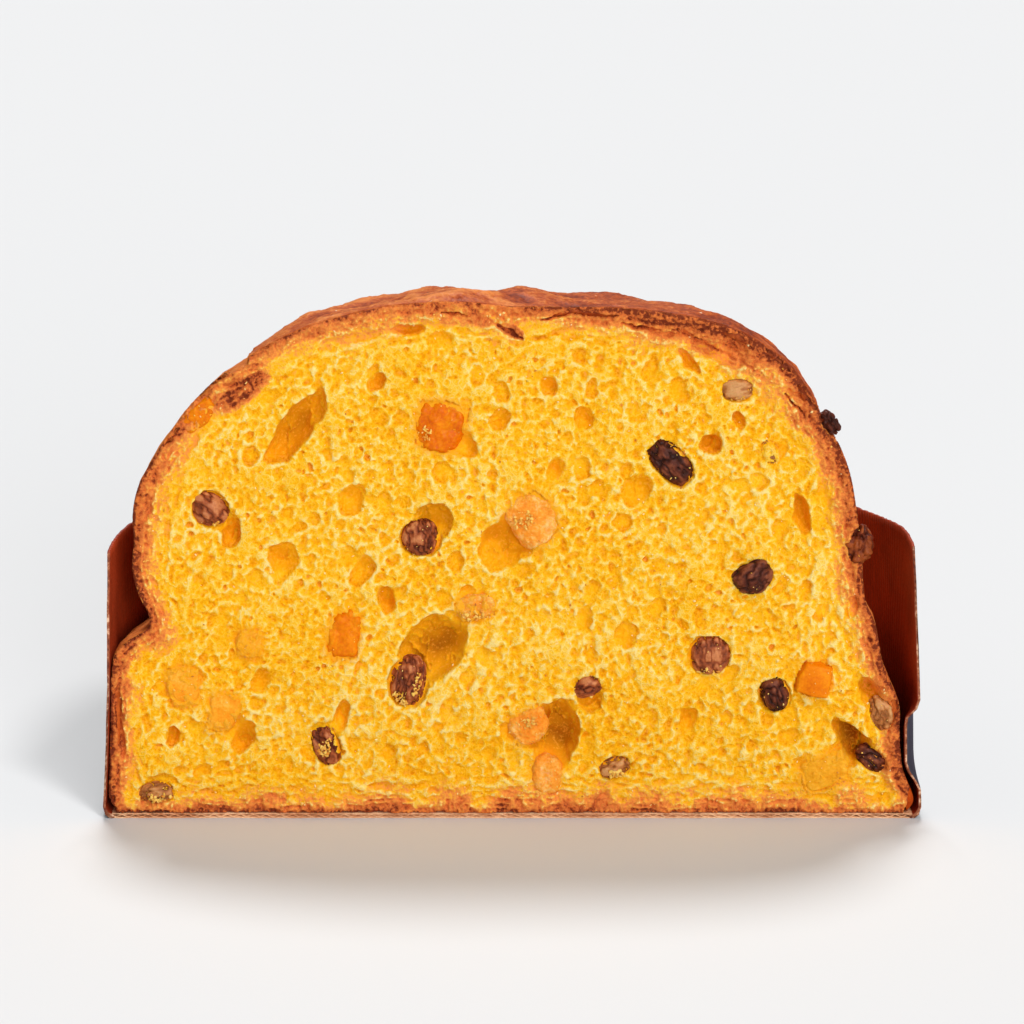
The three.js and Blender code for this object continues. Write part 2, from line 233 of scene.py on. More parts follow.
def leave_facing_out():
    """Turns all faces outwards, and leaves edit mode."""
    bpy.ops.mesh.select_all(action="SELECT")
    bpy.ops.mesh.normals_make_consistent(inside=False)
    leave_edit()


def apply_modifier(piece, kind, **settings):
    activate(piece)
    modifier = piece.modifiers.new(kind.title(), kind)
    for setting, value in settings.items():
        setattr(modifier, setting, value)
    bpy.ops.object.modifier_apply(modifier=modifier.name)


def rounded(piece, levels, kind="CATMULL_CLARK"):
    apply_modifier(piece, "SUBSURF", levels=levels, render_levels=levels, subdivision_type=kind)


def ray_tree(mesh):
    return BVHTree.FromPolygons([v.co for v in mesh.vertices], [tuple(p.vertices) for p in mesh.polygons])


def thin_out(piece, triangles):
    """Brings a mesh down to a number of triangles, keeping the most where it bends."""
    piece.data.calc_loop_triangles()
    share = triangles / len(piece.data.loop_triangles)
    if share < 1:
        apply_modifier(piece, "DECIMATE", ratio=share, use_collapse_triangulate=True)


def close_up(piece):
    """Joins the edges of a swept piece, fills its ends and turns its faces outwards."""
    choose_points(piece)
    bpy.ops.mesh.remove_doubles(threshold=0.00002)
    for _ in range(2):
        bpy.ops.mesh.select_all(action="DESELECT")
        bpy.ops.mesh.select_non_manifold(
            extend=False, use_wire=False, use_multi_face=False, use_non_contiguous=False, use_verts=False,
        )
        bpy.ops.mesh.fill_holes(sides=0)
    leave_facing_out()


def note(piece, name, values):
    """Keeps a number for each point of a mesh, which its material reads."""
    attribute = piece.data.attributes.new(name, "FLOAT", "POINT")
    attribute.data.foreach_set("value", np.asarray(values, np.float32))


def grid_piece(name, columns, rows):
    """A flat grid of points, and each point's place in it, from 0 to 1 both ways."""
    bpy.ops.mesh.primitive_grid_add(x_subdivisions=columns - 1, y_subdivisions=rows - 1, size=2)
    piece = added(name)
    places = points_of(piece) * MM
    return piece, (places[:, 0] + 1) / 2, (places[:, 1] + 1) / 2


def node_copy(node, name):
    """A piece that starts as a copy of a node's own solid, its loose triangles joined up."""
    piece = frame["nodes"][node].copy()
    piece.data = piece.data.copy()
    piece.data.materials.clear()
    for key in list(piece.keys()):
        del piece[key]
    piece.parent = None
    bpy.context.scene.collection.objects.link(piece)
    piece.name = piece.data.name = name
    choose_points(piece)
    bpy.ops.mesh.remove_doubles(threshold=0.00001)
    bpy.ops.mesh.tris_convert_to_quads()
    leave_edit()
    return piece


def ready(piece, material, slot, *nodes):
    """Gives a finished piece its material and its body, and hides the nodes that it stands for."""
    activate(piece)
    bpy.ops.object.shade_smooth()
    if not piece.data.materials:
        piece.data.materials.append(material)
    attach(piece, "root")
    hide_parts(*nodes)
    return piece


# The cut face

GRID = 0.3  # step of the fields that the cut face is worked out on
FIELD_X = np.arange(-108, 108, GRID)
FIELD_Z = np.arange(-1, 139, GRID)
FARTHEST = 20.0  # up to which the distance from the outline is worked out
NOWHERE = 99.0  # a depth where there is no surface
SLICED_TO, SLICED_SHARE = 0.2, 0.25  # depth that the knife leaves, and how much of a bulge stays

# The slab behind the cut face: how far back each step goes, how much it shrinks, and towards what height.
SLAB_STEPS = ((3, 0.996), (13, 0.97))
SLAB_MIDDLE = 55
SLAB_SIDES, SLAB_BACK = 2.2, 13.5  # the depths behind which its sides and its back lie
CRUMB_TRIANGLES = 188000

# The foam's cells: how many, the smallest and largest radius, and how deep they are.
CELLS = ((25000, 0.55, 1.0, 0.62), (3200, 1.0, 1.7, 0.58), (260, 1.7, 2.7, 0.62), (1100, 0.45, 0.8, 1.8))

# Brown places in the cut face, and smooth folds without pores: x, z, half width, half height, turn, strength.
BROWN_SPOTS = [
    (-69, 113.2, 9.5, 3.6, -36, 1.0), (-8.6, 132.6, 5.6, 2.6, 24, 0.8), (0.6, 129, 3.4, 1.8, 40, 0.95),
    (-92, 99, 3.4, 12, 28, 0.4), (73.6, 111, 3, 7, 40, 0.6), (60, 128.6, 10, 2.4, 28, 0.7),
    (42, 131, 10, 1.8, 8, 0.6), (89.6, 88, 2.6, 11, 6, 0.55), (91, 62, 2.2, 9, 8, 0.5),
    (96, 40, 2.4, 8, 25, 0.5),
]
SMOOTH_SPOTS = [
    (8.4, 131.2, 8.6, 3.2, -20, 1.0), (-56.6, 122.6, 9, 4.2, -30, 0.9), (66, 117, 6, 3.4, 48, 0.8),
    (-77, 106, 5, 4, -48, 0.7), (-94, 60, 2, 10, -6, 0.6),
]

# Cracks under the skin, as x and z of both ends, and half their width. The cut face is cut deeper along them
# and darkened there as painted shade.
SLITS = [
    (28.1, 130.8, 37.8, 129.2, 0.7), (40.6, 130, 45.8, 128, 0.9), (44.4, 128, 52.4, 123.4, 0.9),
    (14.6, 134, 26.8, 132.6, 0.55), (7.4, 132, 14.6, 133.4, 0.55), (-3.6, 130.6, 2.6, 127.4, 1.0),
    (64.6, 124, 70.4, 118.4, 0.5), (72.6, 114.6, 77.4, 109.2, 0.6), (69.4, 112.8, 73.8, 107.6, 0.5),
    (-18, 133.6, -11.4, 133, 0.5), (-88.6, 98.6, -84.6, 104, 0.5), (84.6, 98.4, 87.4, 90, 0.45),
]

# Where the crumb was drawn out into strands as it rose, in the same form as the spots.
STRANDS = [
    (-15, 40, 13, 24, 30, 1.0), (80, 54, 8, 22, 4, 1.0), (-38, 40, 8, 16, 20, 0.7),
    (26, 50, 16, 14, -20, 0.5), (-6, 88, 12, 16, -14, 0.5), (60, 84, 12, 14, -24, 0.6),
]

# How far crumb has spread over the fruit that the knife smeared, from 0 to 1.
SMEARED = {
    "peel_buried": 0.2, "peel_faint": 0.32, "peel_lemon": 0.5, "peel_tan": 0.2, "peel_in_crust": 0.2,
    "sultana_faint": 0.42, "citron_corner": 0.22,
}


def blurred(field, reach):
    """A field smoothed over `reach` millimetres."""
    steps = max(1, int(round(3 * reach / GRID)))
    weights = np.exp(-0.5 * (np.arange(-steps, steps + 1) * GRID / reach) ** 2)
    weights /= weights.sum()
    for axis in (0, 1):
        field = sum(w * np.roll(field, k - steps, axis) for k, w in enumerate(weights))
    return field


def sampled(field, x, z):
    """A field's values at places between its grid points."""
    column = np.clip((x - FIELD_X[0]) / GRID, 0, len(FIELD_X) - 1.001)
    row = np.clip((z - FIELD_Z[0]) / GRID, 0, len(FIELD_Z) - 1.001)
    i, j = column.astype(int), row.astype(int)
    u, v = column - i, row - j
    low = field[j, i] * (1 - u) + field[j, i + 1] * u
    high = field[j + 1, i] * (1 - u) + field[j + 1, i + 1] * u
    return low * (1 - v) + high * v


def cell_of(x, z):
    """The column and row of a place."""
    return int((x - FIELD_X[0]) / GRID), int((z - FIELD_Z[0]) / GRID)


def cut_outline():
    """The closed outline of the cut face, from the right foot over the crown to the left foot, as x and z."""
    right, left = RIGHT_CURVE, LEFT_CURVE[:, ::-1] * [[-1], [1]]
    foot = np.linspace(left[0, -1], right[0, 0], 400)[1:-1]
    x = np.concatenate([right[0], left[0, 1:], foot])
    z = np.concatenate([right[1], left[1, 1:], np.full(len(foot), LOAF_FOOT)])
    return x, z


def inside_outline(x, z):
    """Which places lie inside the outline, and how far each lies from it."""
    ox, oz = cut_outline()
    nx, nz = np.roll(ox, -1), np.roll(oz, -1)
    inside = np.zeros(x.shape, bool)
    for j, height in enumerate(FIELD_Z):
        crossing = (oz <= height) != (nz <= height)
        x0, z0, x1, z1 = (line[crossing] for line in (ox, oz, nx, nz))
        at = x0 + (height - z0) * (x1 - x0) / (z1 - z0)
        inside[j] = (FIELD_X[:, None] < at[None, :]).sum(1) % 2 == 1
    far = np.full(x.shape, FARTHEST)
    reach = int(FARTHEST / GRID)
    for px, pz in zip(ox[::2], oz[::2]):
        i, j = cell_of(px, pz)
        window = np.s_[max(0, j - reach):j + reach, max(0, i - reach):i + reach]
        far[window] = np.minimum(far[window], np.hypot(x[window] - px, z[window] - pz))
    return inside, far


def surface_depth(node, x, z, chosen):
    """How deep a node's nearest surface lies behind the cut at the chosen places."""
    tree = ray_tree(frame["nodes"][node].data)
    depth = np.full(x.shape, NOWHERE)
    toward = Vector((0, 1, 0))
    for j, i in np.argwhere(chosen):
        hit = tree.ray_cast(Vector((x[j, i] * MM, (CUT - 12) * MM, z[j, i] * MM)), toward)[0]
        if hit is not None:
            depth[j, i] = hit.y / MM - CUT
    return depth


def levelled(depth):
    """Brings what stands in front of the cut back almost level with it, as the knife does."""
    return np.where(depth < SLICED_TO, SLICED_TO + SLICED_SHARE * (depth - SLICED_TO), depth)


def sliced(node):
    """Whether the knife went through a piece of fruit; the others bulge out whole."""
    return node == "raisin_cut" or (node.startswith(("peel", "citron")) and node != "peel_cube")


def fruit_fronts(x, z):
    """The nearest fruit surface at each place, how deep crumb may cover it, its pocket, and where peel is."""
    front, cover = np.full(x.shape, NOWHERE), np.full(x.shape, NOWHERE)
    pocket, sweet = np.zeros_like(x), np.zeros_like(x)
    patches = layered(x, 0, z, 1.7, 101) + 0.6 * noise(x, 0, z, 0.8, 105)
    ragged_x, ragged_z = x + layered(x, 0, z, 2.6, 107), z + layered(x, 0, z, 2.6, 117)
    for part in frame["record"]["subparts"]:
        node = part["node"]
        if node in ("loaf", "paper_case"):
            continue
        low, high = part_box(node)
        near_x = (x > low.x / MM - 1) & (x < high.x / MM + 1)
        depth = surface_depth(node, x, z, near_x & (z > low.z / MM - 1) & (z < high.z / MM + 1))
        depth = levelled(depth) if sliced(node) else depth
        front = np.minimum(front, depth)
        if sliced(node) and node != "raisin_cut":
            sweet[depth < NOWHERE] = 1
            face = sampled(blurred(depth < 0.75, 0.5), ragged_x, ragged_z) > 0.5
            under = np.where(face & (depth < 1.4), depth + 0.5, 0)
        else:
            under = np.where(depth < NOWHERE, np.clip(depth, -0.2, 1.7) + 0.5, 0)
            under = np.maximum(under, blurred(under, 0.3))
        pocket = np.maximum(pocket, under)
        if node in SMEARED:
            spread = depth - 0.1 + 0.5 * patches + 0.8 * (0.5 - SMEARED[node])
            cover = np.where(depth < NOWHERE, np.minimum(cover, np.maximum(spread, depth - 0.45)), cover)
    return front, cover, pocket, sweet


def foam(depth, edge, along, count, smallest, largest, deep):
    """Opens round cells in the crumb. Cells near the crust are pressed flat along it."""
    for _ in range(count):
        px, pz = RNG.uniform(-103, 103), RNG.uniform(2, 136)
        size = smallest * (largest / smallest) ** (RNG.random() ** 1.7)
        i, j = cell_of(px, pz)
        if edge[j, i] < size * 0.9 + 1.8:
            continue
        behind = RNG.uniform(-0.6, 0.3) * size
        near_crust = 1 - smoothstep(edge[j, i], 4, 15)
        stretch = 1.05 + 0.45 * RNG.random() + 0.9 * near_crust
        lean = along[j, i] if near_crust > 0.4 else RNG.normal(1.35, 0.6)
        reach = int(size * stretch / GRID) + 2
        window = np.s_[max(0, j - reach):j + reach + 1, max(0, i - reach):i + reach + 1]
        dx = FIELD_X[window[1]][None, :] - px
        dz = FIELD_Z[window[0]][:, None] - pz
        u = (dx * math.cos(lean) + dz * math.sin(lean)) / stretch
        v = (-dx * math.sin(lean) + dz * math.cos(lean)) * (1 + 0.6 * near_crust)
        room = size * size - u * u - v * v
        bowl = np.where(room > 0, deep * (behind + np.sqrt(np.maximum(room, 0))), 0)
        depth[window] = np.maximum(depth[window], bowl)


def cut_fields():
    """Everything that the cut face is made from, on one grid."""
    x, z = np.meshgrid(FIELD_X, FIELD_Z)
    inside, edge = inside_outline(x, z)
    down, across = np.gradient(blurred(edge, 1.5))
    along = np.arctan2(across, -down)
    front, cover, pocket, sweet = fruit_fronts(x, z)
    solid = np.where(inside, np.clip(surface_depth("loaf", x, z, inside), 0, 12), 0)
    open_crumb = 1 - (blurred(front < NOWHERE, 0.7) > 0.02)
    filled = blurred(solid * open_crumb, 1.5) / np.maximum(blurred(open_crumb, 1.5), 0.001)
    solid = np.where(open_crumb > 0.5, solid, filled)
    mouth, floor = blurred(solid > 0.5, 0.6), blurred(solid, 0.8)
    at_x, at_z = (
        place + (0.55 * layered(x, 0, z, 4.2, seed) + 0.12 * noise(x, 0, z, 1.1, seed + 3))
        for place, seed in ((x, 11), (z, 21))
    )
    holes = sampled(floor, at_x, at_z) * smoothstep(sampled(mouth, at_x, at_z), 0.3, 0.6)
    inner = np.abs(layered(x, 0, z * 0.6, 2.8, 36))
    holes = holes * (1 - 0.22 * np.exp(-(inner / 0.12) ** 2)) * (0.92 + 0.16 * noise(x, 0, z, 4, 38))
    slit = slits(x, z)
    cells = np.zeros_like(holes)
    for row in CELLS:
        foam(cells, edge, along, *row)
    torn_x, torn_z = (
        place + (0.34 * noise(x, 0, z, 1.2, seed) + 0.4 * noise(x, 0, z, 3.0, seed + 1))
        for place, seed in ((x, 15), (z, 25))
    )
    cells = sampled(cells, torn_x, torn_z) * (1 - spots(x, z, SMOOTH_SPOTS))
    calm = 1 - 0.45 * smoothstep(holes, 0.6, 2.0)
    depth = np.maximum(np.maximum(holes, 3 * slit), cells) + 0.3 * np.minimum(holes, cells) * calm
    grit = 0.17 * noise(x, 0, z, 0.75, 31) + 0.14 * np.abs(noise(x, 0, z, 1.5, 32))
    depth = depth + calm * (grit + 0.42 * strands(x, z)) + 0.45 * layered(x, 0, z, 9, 33)
    depth = np.maximum(depth, pocket)
    depth = np.where(cover < NOWHERE, np.minimum(depth, cover), depth)
    return {
        "x": x, "z": z, "inside": inside, "edge": edge, "depth": depth, "front": front, "slit": slit,
        "syrup": np.clip(1.5 * blurred(sweet, 1.3), 0, 1), "drawn": spots(x, z, STRANDS),
    }


def strands(x, z):
    """Fine ridges along the drawn-out places, from -1 to 1."""
    ridges = np.zeros_like(x)
    for number, row in enumerate(STRANDS):
        lean = math.radians(row[4])
        across = (x - row[0]) * math.cos(lean) - (z - row[1]) * math.sin(lean) + 0.8 * noise(x, 0, z, 4, 161)
        down = (x - row[0]) * math.sin(lean) + (z - row[1]) * math.cos(lean)
        ridges = ridges + spots(x, z, [row]) * layered(across, 0, down / 7, 1.5, 171 + number, 2)
    return ridges


def slits(x, z):
    """How far each place lies in a crack, from 0 to 1."""
    mask = np.zeros_like(x)
    sway = 0.6 * layered(x, 0, z, 3.0, 151)
    for x0, z0, x1, z1, half in SLITS:
        way = np.array([x1 - x0, z1 - z0])
        share = np.clip(((x - x0) * way[0] + (z + sway - z0) * way[1]) / (way @ way), 0, 1)
        away = np.hypot(x - x0 - share * way[0], z + sway - z0 - share * way[1])
        width = half * (0.35 + 0.65 * np.sin(np.pi * np.clip(share, 0.06, 0.94)))
        mask = np.maximum(mask, 1 - smoothstep(away, 0.4 * width, 1.25 * width))
    return mask


def spots(x, z, rows):
    """How strongly each place lies in one of some oval spots."""
    mask = np.zeros_like(x)
    for cx, cz, half_width, half_height, turn, strength in rows:
        lean = math.radians(turn)
        u = ((x - cx) * math.cos(lean) - (z - cz) * math.sin(lean)) / half_width
        v = ((x - cx) * math.sin(lean) + (z - cz) * math.cos(lean)) / half_height
        mask = np.maximum(mask, strength * (1 - smoothstep(np.hypot(u, v), 0.55, 1.15)))
    return mask


def crust_share(fields):
    """How far each place of the cut face is baked, from 0 in the crumb to 1 at the outer skin, with painted
    shade in the cracks counted as baked.
    """
    x, z, edge = fields["x"], fields["z"], fields["edge"]
    top = smoothstep(z, 84, 122)
    foot = 1 - smoothstep(z, 2, 9)
    thick = 8.4 + 1.2 * top + 2.4 * top * smoothstep(x, 20, 55) - 3.6 * foot
    thick = thick + 2.4 * layered(x, 0, z, 8, 41) + 1.4 * noise(x, 0, z, 1.6, 45)
    baked = np.clip(1 - edge / np.maximum(thick, 1.5), 0, 1) ** 1.35
    torn = 0.5 + 0.5 * noise(x, 0, z, 0.9, 47)
    baked = baked * (1 - 0.45 * spots(x, z, SMOOTH_SPOTS) * smoothstep(edge, 0.8, 2.4))
    baked = baked * (1 + top * (0.25 * smoothstep(x, 8, 36) - 0.25 * (1 - smoothstep(x, -4, 18))))
    # Real brown spots, and painted shade in the cracks, which darkens them like well-baked crust.
    brown = np.maximum(0.95 * spots(x, z, BROWN_SPOTS) * (0.65 + 0.5 * torn), 0.8 * fields["slit"])
    return np.clip(np.maximum(baked, brown), 0, 1)


def make_crumb(crust):
    """The cut face: open foam with air holes, pockets and a flaky rim, on a slab inside the crust."""
    fields = cut_fields()
    baked = crust_share(fields)
    x, z, edge = fields["x"], fields["z"], fields["edge"]
    layers = np.abs(noise(edge + 0.9 * noise(x, 0, z, 5, 51), 0, x / 9 + z / 9, 1.0, 53))
    flaky = smoothstep(baked, 0.1, 0.45)
    grains = np.abs(noise(x, 0, z, 1.2, 55)) + 0.45 * noise(x, 0, z, 0.7, 56)
    flakes = flaky * (0.8 * layers + grains + 0.4 * layered(x, 0, z, 3.4, 57) - 0.8)
    rolled = 0.7 * smoothstep(1.3 - edge, 0, 1.3) ** 2
    fruit = fields["front"] < NOWHERE
    depth = np.where(fruit, fields["depth"], fields["depth"] * (1 - 0.3 * flaky) + flakes + rolled)
    baked = np.clip(baked + flaky * (0.3 * (layers - 0.3) + 0.16 * noise(x, 0, z, 1.6, 58)), 0, 1)
    # How far each place lies in a hollow (above 0) or on a ridge (below 0). The crumb's material uses it to
    # paint shade into the hollows and a highlight onto the ridges, in the cut face and in its baked rim.
    shallow = np.minimum(depth, 1.0)
    hollow = np.clip(shallow - blurred(shallow, 0.9), -1, 1)
    hollow = np.where(fruit, np.maximum(hollow, -0.1), hollow)

    piece, u, v = grid_piece("crumb", len(FIELD_X), len(FIELD_Z))
    px = FIELD_X[0] + u * (FIELD_X[-1] - FIELD_X[0])
    pz = FIELD_Z[0] + v * (FIELD_Z[-1] - FIELD_Z[0])
    set_points(piece, np.stack([px, np.full_like(px, CUT), pz], 1))
    inside = fields["inside"]
    beyond = sampled(blurred(inside, 0.12), px, pz) < 0.02
    choose_points(piece, beyond & (sampled(inside, px, pz) <= 0.5))
    bpy.ops.mesh.delete(type="VERT")
    leave_edit()

    places = points_of(piece)
    px, pz = places[:, 0], places[:, 2]
    ox, oz = cut_outline()
    for k in np.flatnonzero(sampled(inside, px, pz) < 0.5):
        nearest = np.argmin((ox - px[k]) ** 2 + (oz - pz[k]) ** 2)
        px[k], pz[k] = ox[nearest], oz[nearest]
    set_points(piece, np.stack([px, CUT + sampled(depth, px, pz), pz], 1))
    thin_out(piece, CRUMB_TRIANGLES)

    choose_points(piece, False)
    bpy.ops.mesh.select_non_manifold(
        extend=False, use_wire=False, use_multi_face=False, use_non_contiguous=False,
    )
    for back, shrink in SLAB_STEPS:
        bpy.ops.mesh.extrude_edges_move()
        bpy.ops.transform.translate(value=(0, back * MM, 0))
        bpy.ops.transform.resize(value=(shrink, 1, shrink), center_override=(0, CUT * MM, SLAB_MIDDLE * MM))
    bpy.ops.mesh.edge_face_add()
    leave_facing_out()

    tuck_in(piece, crust, fields)
    places = points_of(piece)
    px, pz = places[:, 0], places[:, 2]
    front = places[:, 1] < CUT + 13
    note(piece, "baked", np.where(front, sampled(baked, px, pz), 1))
    note(piece, "hollow", sampled(hollow, px, pz))
    note(piece, "depth", places[:, 1] - CUT)
    for name in ("syrup", "drawn"):
        note(piece, name, sampled(fields[name], px, pz))
    return piece, fields, depth


def tuck_in(piece, crust, fields):
    """Draws the sides of the crumb's slab in under the crust, wherever they would stand out of it."""
    tree = ray_tree(crust.data)
    places = points_of(piece)
    rim = sampled(fields["edge"] * fields["inside"], places[:, 0], places[:, 2]) < 6
    deep = places[:, 1] - CUT
    for k in np.flatnonzero((deep > SLAB_SIDES) & (rim | (deep > SLAB_BACK))):
        x, y, z = places[k]
        way = Vector((x, 0, z - SLAB_MIDDLE)).normalized()
        hit = tree.ray_cast(Vector((0, y * MM, SLAB_MIDDLE * MM)), way)[3]
        if hit is not None and z > 6:
            reach = min(math.hypot(x, z - SLAB_MIDDLE), hit / MM + 0.5)
            places[k] = [way.x * reach, y, SLAB_MIDDLE + way.z * reach]
    set_points(piece, places)


# The crust

CRUST_THICKNESS = 2.4
CRUST_TRIANGLES = 110000
ROWS_BELOW_LIP = 0.62  # as a share of the shell's rows
BESIDE_LIP, TOPMOST = 0.0015, 0.9985  # shares of the outline that the rows start from and run up to


def make_crust():
    """The dome's baked shell, from just behind the cut round the back, with its wrinkles, lip and seam."""
    columns, outer, inner = 620, 330, 44
    piece, around, loop = grid_piece("crust", columns, outer + inner)
    step = np.round(loop * (outer + inner - 1))
    up = np.where(step < outer, step / (outer - 1), (outer + inner - 1 - step) / (inner - 1))
    angle = math.pi * around
    lip = lip_at(angle)
    split = ROWS_BELOW_LIP
    above = lip + BESIDE_LIP + (TOPMOST - lip) * (up - split) / (1 - split)
    share = np.where(up < split, (lip - BESIDE_LIP) * up / split, above)
    radius, height = outline_at(angle, share)
    along = np.array(outline_at(angle, share + 0.006)) - np.array(outline_at(angle, share - 0.006))
    along /= np.maximum(np.linalg.norm(along, axis=0), 1e-6)
    x, y = radius * np.cos(angle), radius * np.sin(angle)
    cap = smoothstep(share, lip - 0.004, lip + 0.01)
    wrinkles = 1 - np.abs(layered(x, y, height * 1.6, 7.5, 61))
    pits = np.maximum(0, noise(x, y, height, 2.3, 65) - 0.35)
    grain = noise(x, y, height, 0.9, 67)
    blisters = np.maximum(0, noise(x, y, height, 6.5, 69) - 0.25)
    on_cap = 0.6 * (wrinkles - 0.6) + 0.12 * grain + 0.8 * blisters - 0.4 * pits
    imprint = 0.1 * np.sin(angle * 150 + 2 * noise(x, y, height, 20, 71))
    on_side = 0.3 * layered(x, y, height, 9, 73) - 0.7 * pits + 0.12 * grain + imprint
    solid_relief = crust_relief(angle, share, radius, height)
    calm = smoothstep(share, 0, 0.08) * (0.3 + 0.7 * smoothstep(np.sin(angle), 0, 0.06))
    fine = calm * (cap * on_cap + (1 - cap) * on_side)
    shell = (step < outer) | (step == outer + inner - 1)
    relief = np.where(shell, solid_relief + fine, solid_relief - CRUST_THICKNESS)
    z = height - along[0] * relief
    r = np.clip(radius + along[1] * relief, 0, room_in_case(z))
    behind = r * np.sin(angle)
    ragged = 0.35 * noise(x, 0, height, 2.2, 75) + 0.5 * noise(x, 0, height, 6.5, 76)
    start = np.maximum(0.9, 1.5 + ragged) * (1 - smoothstep(behind, 0, 7))
    set_points(piece, np.stack([r * np.cos(angle), CUT + behind + start, z], 1))
    note(piece, "cap", cap)
    # The fine relief. The crust's material also paints it lighter where it stands out and darker in its pits,
    # as painted highlight and shade.
    note(piece, "relief", fine)
    note(piece, "rise", height)
    close_up(piece)
    thin_out(piece, CRUST_TRIANGLES)
    return piece


# The paper case

FLUTE_PITCH, FLUTE_DEPTH = 1.5, 0.24
BOARD_PITCH, BOARD_LINER, BOARD_FLUTE = 3.4, 0.22, 0.16  # its wave, and the thickness of its papers


def crease(angle, height):
    """How far the cut edge of the paper is pushed in low on the right, where it is creased."""
    level = smoothstep(height, 7, 15) - smoothstep(height, 26, 31)
    return 3.6 * np.exp(-((angle / 0.08) ** 2)) * level


def case_rim(angle):
    return CASE_HEIGHT + 0.9 * np.sin(5 * angle + 1) + 0.6 * np.sin(11 * angle)


def case_radius(angle, height):
    wave = CASE_WAVE * np.sin(7 * angle + height / 20)
    return CASE_FOOT_RADIUS - CASE_SLOPE * height - crease(angle, height) + wave


def make_case_wall():
    """The upright paper: plain outside, finely fluted inside, its foot curled in under the loaf."""
    levels = 30
    flutes = int(math.pi * CASE_RIM_RADIUS / FLUTE_PITCH)
    columns = flutes * 6 + 1
    rows = 2 * levels + 8
    piece, around, loop = grid_piece("case_wall", columns, rows)
    angle = math.pi * around
    step = np.round(loop * (rows - 1)).astype(int)
    rim = case_rim(angle) - 0.25 * np.abs(noise(angle * 100, 0, 0, 1.7, 81))
    outer_share = np.clip((step - 3) / (levels - 1), 0, 1)
    inner_share = np.clip((rows - 5 - step) / (levels - 1), 0, 1)
    outside = step < 3 + levels
    share = np.where(outside, outer_share, inner_share)
    height = CASE_CORNER + (rim - CASE_CORNER) * share
    flute = FLUTE_DEPTH * (0.5 - 0.5 * np.cos(angle * flutes * 2))
    soft = 0.12 * layered(angle * 100, 0, height, 14, 83)
    radius = case_radius(angle, height) + soft
    radius = np.where(outside, radius, radius - CASE_WALL + FLUTE_DEPTH - flute)
    bend = CASE_FOOT_RADIUS - CASE_CORNER
    for k, (r, h) in enumerate(((bend, 0), (bend + 1.2, 0.1), (bend + 2.3, 0.95))):
        radius, height = np.where(step == k, r, radius), np.where(step == k, h, height)
    inner = ((bend + 2.2, 2.9), (bend + 1.6, 1.7), (bend + 0.6, 1.0), (bend, 0.8), (bend, 0))
    for k, (r, h) in enumerate(reversed(inner)):
        radius = np.where(step == rows - 1 - k, r, radius)
        height = np.where(step == rows - 1 - k, h, height)
    ends = np.minimum(around, 1 - around) < 0.5 / columns
    torn = 0.35 * noise(radius, 0, height, 1.3, 85) + 0.25 * noise(radius, 0, height, 5, 87)
    y = CUT + radius * np.sin(angle) + np.where(ends, 0.15 + torn, 0)
    set_points(piece, np.stack([radius * np.cos(angle), y, height], 1))
    close_up(piece)
    return piece


def paint_wall(wall, looks):
    """Gives the upright paper its looks: 0 inside, 1 outside, 2 at the cut edge."""
    for look in looks:
        wall.data.materials.append(look)
    middles, ways = vectors(wall.data.polygons, "center") / MM, vectors(wall.data.polygons, "normal")
    radial = middles * [1, 1, 0] - [0, CUT, 0]
    outward = (radial * ways).sum(1) / np.maximum(np.linalg.norm(radial, axis=1), 1e-6)
    which = np.where(outward > 0.3, 1, 0)
    which = np.where((ways[:, 1] < -0.75) & (middles[:, 1] < CUT + 1.5), 2, which)
    wall.data.polygons.foreach_set("material_index", which.astype(np.int32))


def make_case_board():
    """The corrugated bottom: two liners with a wave of paper between them, open along the cut."""
    radius = CASE_FOOT_RADIUS - CASE_CORNER + 0.6
    sheets = []
    wave_steps = int(2 * radius / BOARD_PITCH) * 10
    lines = (
        ("case_liner_low", 60, BOARD_LINER, lambda x: np.full_like(x, BOARD_LINER / 2)),
        ("case_liner_top", 60, BOARD_LINER, lambda x: np.full_like(x, CASE_BOARD - BOARD_LINER / 2)),
        ("case_flutes", wave_steps, BOARD_FLUTE,
         lambda x: CASE_BOARD / 2 + 0.3 * np.sin(2 * np.pi * x / BOARD_PITCH)),
    )
    for name, columns, thickness, height in lines:
        sheet, u, v = grid_piece(name, columns + 1, 40)
        x = radius * (2 * u - 1) * 0.999 if name == "case_flutes" else radius * np.sin((u - 0.5) * np.pi)
        deep = np.sqrt(np.maximum(radius ** 2 - x ** 2, 0))
        ragged = (v == 0) * (0.25 * noise(x, 0, height(x), 0.8, 91) + 0.2)
        set_points(sheet, np.stack([x, CUT + 0.1 + v * np.maximum(deep - 0.1, 0.01) + ragged, height(x)], 1))
        apply_modifier(sheet, "SOLIDIFY", thickness=thickness * MM, offset=0)
        sheets.append(sheet)
    activate(sheets[0])
    for sheet in sheets:
        sheet.select_set(True)
    bpy.ops.object.join()
    return added("case_board")


# Fruit

def swell(piece, grow):
    """Moves each point of a mesh out along its normal, by its own amount."""
    set_points(piece, points_of(piece) + vectors(piece.data.vertices, "normal") * grow[:, None])


